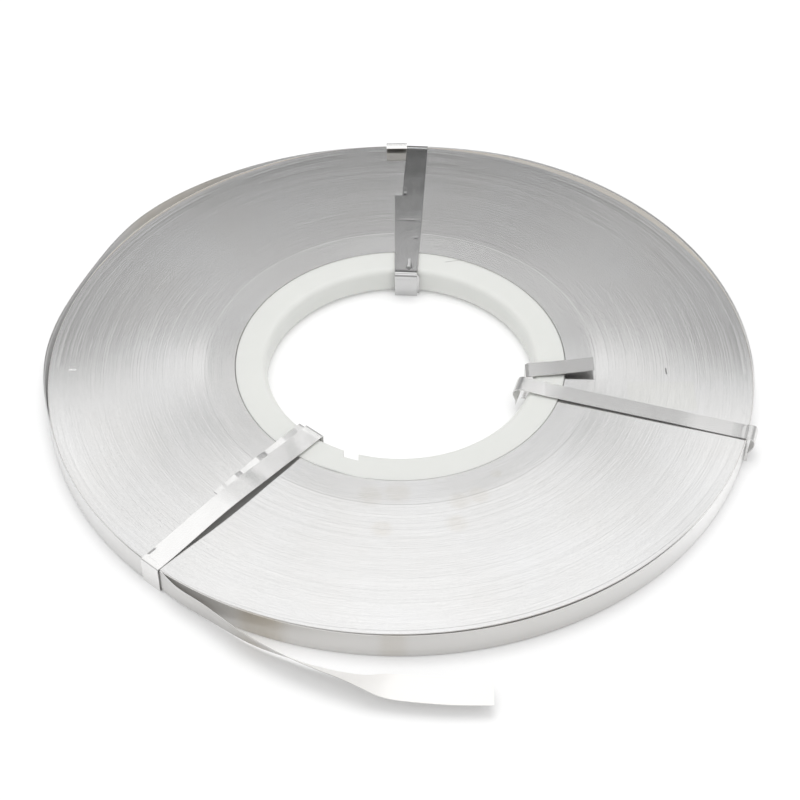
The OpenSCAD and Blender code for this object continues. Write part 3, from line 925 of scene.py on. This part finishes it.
def stage_floor():
    size = 3000.0
    corners = [(x * size, y * size, FOOT_Z) for x, y in ((-1, -1), (1, -1), (1, 1), (-1, 1))]
    floor = make_piece("floor", corners, [(0, 1, 2, 3)], floor_material())


def studio_light():
    """A room that is bright high up and dim towards the horizon, with a soft box above for the
    shadows."""
    world = bpy.data.worlds.new("studio")
    bpy.context.scene.world = world
    world.use_nodes = True
    tree = world.node_tree
    background = tree.nodes["Background"]
    coord = tree.nodes.new("ShaderNodeTexCoord")
    split = tree.nodes.new("ShaderNodeSeparateXYZ")
    tree.links.new(coord.outputs["Generated"], split.inputs[0])

    def calc(operation, *values):
        made = tree.nodes.new("ShaderNodeMath")
        made.operation = operation
        for socket, value in zip(made.inputs, values):
            if isinstance(value, bpy.types.NodeSocket):
                tree.links.new(value, socket)
            else:
                socket.default_value = value
        return made.outputs[0]

    def levels(share, stops):
        ramp = tree.nodes.new("ShaderNodeValToRGB")
        tree.links.new(share, ramp.inputs[0])
        elements = ramp.color_ramp.elements
        while len(elements) < len(stops):
            elements.new(0.5)
        for element, (degrees, value) in zip(elements, stops):
            element.position = degrees / 90
            element.color = (*[value / LIGHT_TOP] * 3, 1)
        return ramp.outputs[0]

    x, y, z = split.outputs
    level_way = calc("SQRT", calc("ADD", calc("MULTIPLY", x, x), calc("MULTIPLY", y, y)))
    share = calc("DIVIDE", calc("ARCTAN2", z, level_way), math.pi / 2)
    off_ahead = calc("DIVIDE", calc("ABSOLUTE", x), level_way)
    behind = calc("DIVIDE", calc("MULTIPLY", y, -1.0), level_way)

    def blend(value, start, end, a, b):
        beyond = tree.nodes.new("ShaderNodeMapRange")
        beyond.interpolation_type = "SMOOTHSTEP"
        beyond.inputs["From Min"].default_value = start
        beyond.inputs["From Max"].default_value = end
        tree.links.new(value, beyond.inputs["Value"])
        mix = tree.nodes.new("ShaderNodeMix")
        mix.data_type = "RGBA"
        tree.links.new(beyond.outputs[0], mix.inputs[0])
        tree.links.new(a, mix.inputs[6])
        tree.links.new(b, mix.inputs[7])
        return mix.outputs[2]

    room = levels(share, CENTRE_LIGHT)
    room = blend(off_ahead, AHEAD_FROM, AHEAD_TO, room, levels(share, AHEAD_LIGHT))
    room = blend(off_ahead, SIDE_FROM, SIDE_TO, room, levels(share, SIDE_LIGHT))
    room = blend(behind, BEHIND_FROM, BEHIND_TO, room, levels(share, BEHIND_LIGHT))
    tree.links.new(room, background.inputs[0])
    background.inputs[1].default_value = LIGHT_TOP

    soft_box = bpy.data.lights.new("soft_box", "AREA")
    soft_box.shape = "SQUARE"
    soft_box.size = SOFT_BOX_SIZE
    soft_box.energy = SOFT_BOX_ENERGY
    lamp = bpy.data.objects.new("soft_box", soft_box)
    lamp.location = SOFT_BOX_PLACE
    lamp.rotation_euler = (-math.radians(SOFT_BOX_TILT), 0, 0)
    lamp.visible_glossy = False  # the metal mirrors the room alone
    bpy.context.scene.collection.objects.link(lamp)


def camera():
    data = bpy.data.cameras.new("camera")
    data.lens = CAMERA_LENS
    data.sensor_width = 36
    data.clip_end = 20
    made = bpy.data.objects.new("camera", data)
    e = math.radians(CAMERA_ELEVATION)
    back = Vector((0, -math.cos(e), math.sin(e)))
    made.location = (CAMERA_TARGET + back * CAMERA_DISTANCE) * MM
    turn = (-back).to_track_quat("-Z", "Y").to_matrix().to_4x4()
    made.rotation_euler = (turn @ Matrix.Rotation(math.radians(CAMERA_ROLL), 4, "Z")).to_euler()
    bpy.context.scene.collection.objects.link(made)
    bpy.context.scene.camera = made


# ---------------------------------------------------------------- build
camera()
studio_light()
stage_floor()
bpy.context.scene.view_settings.view_transform = "Standard"

winding = winding_material("nickel_winding", gain=1.0, warm=0.0)
sloped = winding_material("nickel_sloped_turns", gain=0.9, warm=0.045)
# Painted light and shade: the outer turns are painted darker towards the front and lighter towards +X
# than all round
turns = turn_material("nickel_outer_turns_painted_light", front=0.65, side=0.79, right=0.94, metal=0.85, warm=0.004)
# Painted light and shade: the turns' inner side is a near white, hardly metallic copy, lit as if light
# reached down between the turns, and painted dark towards +X where the gaps are in shade
inside = turn_material("nickel_turns_inside_painted_light", front=0.96, side=0.96, right=0.30, metal=0.1, warm=0.004)
tie = strip_material("tie_strip", 0.78, 0.22)
# Painted light: a lighter copy of the tie strip for the left tie, standing in for the light it catches
lit_copy_tie = strip_material("lit_copy_strip_painted_light", 0.84, 0.22)
# Partly painted shade: a rougher copy of the tie strip, also painted darker, for the right tie's loose
# end
dull_shaded_tie = strip_material("dull_painted_shade_strip", 0.66, 0.26)
# Painted light: the ties' undersides are a near white, hardly metallic copy of the strip, so the shade
# under the ties, mirrored in the winding, comes out lighter
underside_painted_light = strip_material("tie_underside_painted_light", 0.96, 0.45, metal=0.05)
smooth_tie = strip_material("smooth_strip", 0.62, 0.13, metal=1.0, warm=0.0)
darker_brown_tie = strip_material("darker_brown_strip", 0.52, 0.3, warm=0.03)


def pack_start(angle):
    return TIGHT_EDGE(angle) + PACK_GAP(angle)


def pack_width(angle):
    return PACK_EDGE(angle) - TIGHT_EDGE(angle) - PACK_GAP(angle)


for piece in (
    tight_turns(winding),
    pack_of_turns("looser_turns", pack_start, pack_width, 0.0, winding),
    pack_of_turns("sloped_turns", PACK_EDGE, SLOPED_W, 0.04, sloped),
    outer_strip(turns, inside),
):
    finished(piece, "nickel_coil")
finished(core_ring(core_material()), "core_ring")
for node, pieces in (("tie_back", back_tie(tie, smooth_tie, darker_brown_tie)),
                     ("tie_left", left_tie(lit_copy_tie, tie, underside_painted_light)),
                     ("tie_right", right_tie(tie, dull_shaded_tie, underside_painted_light))):
    for piece in pieces:
        finished(piece, node)
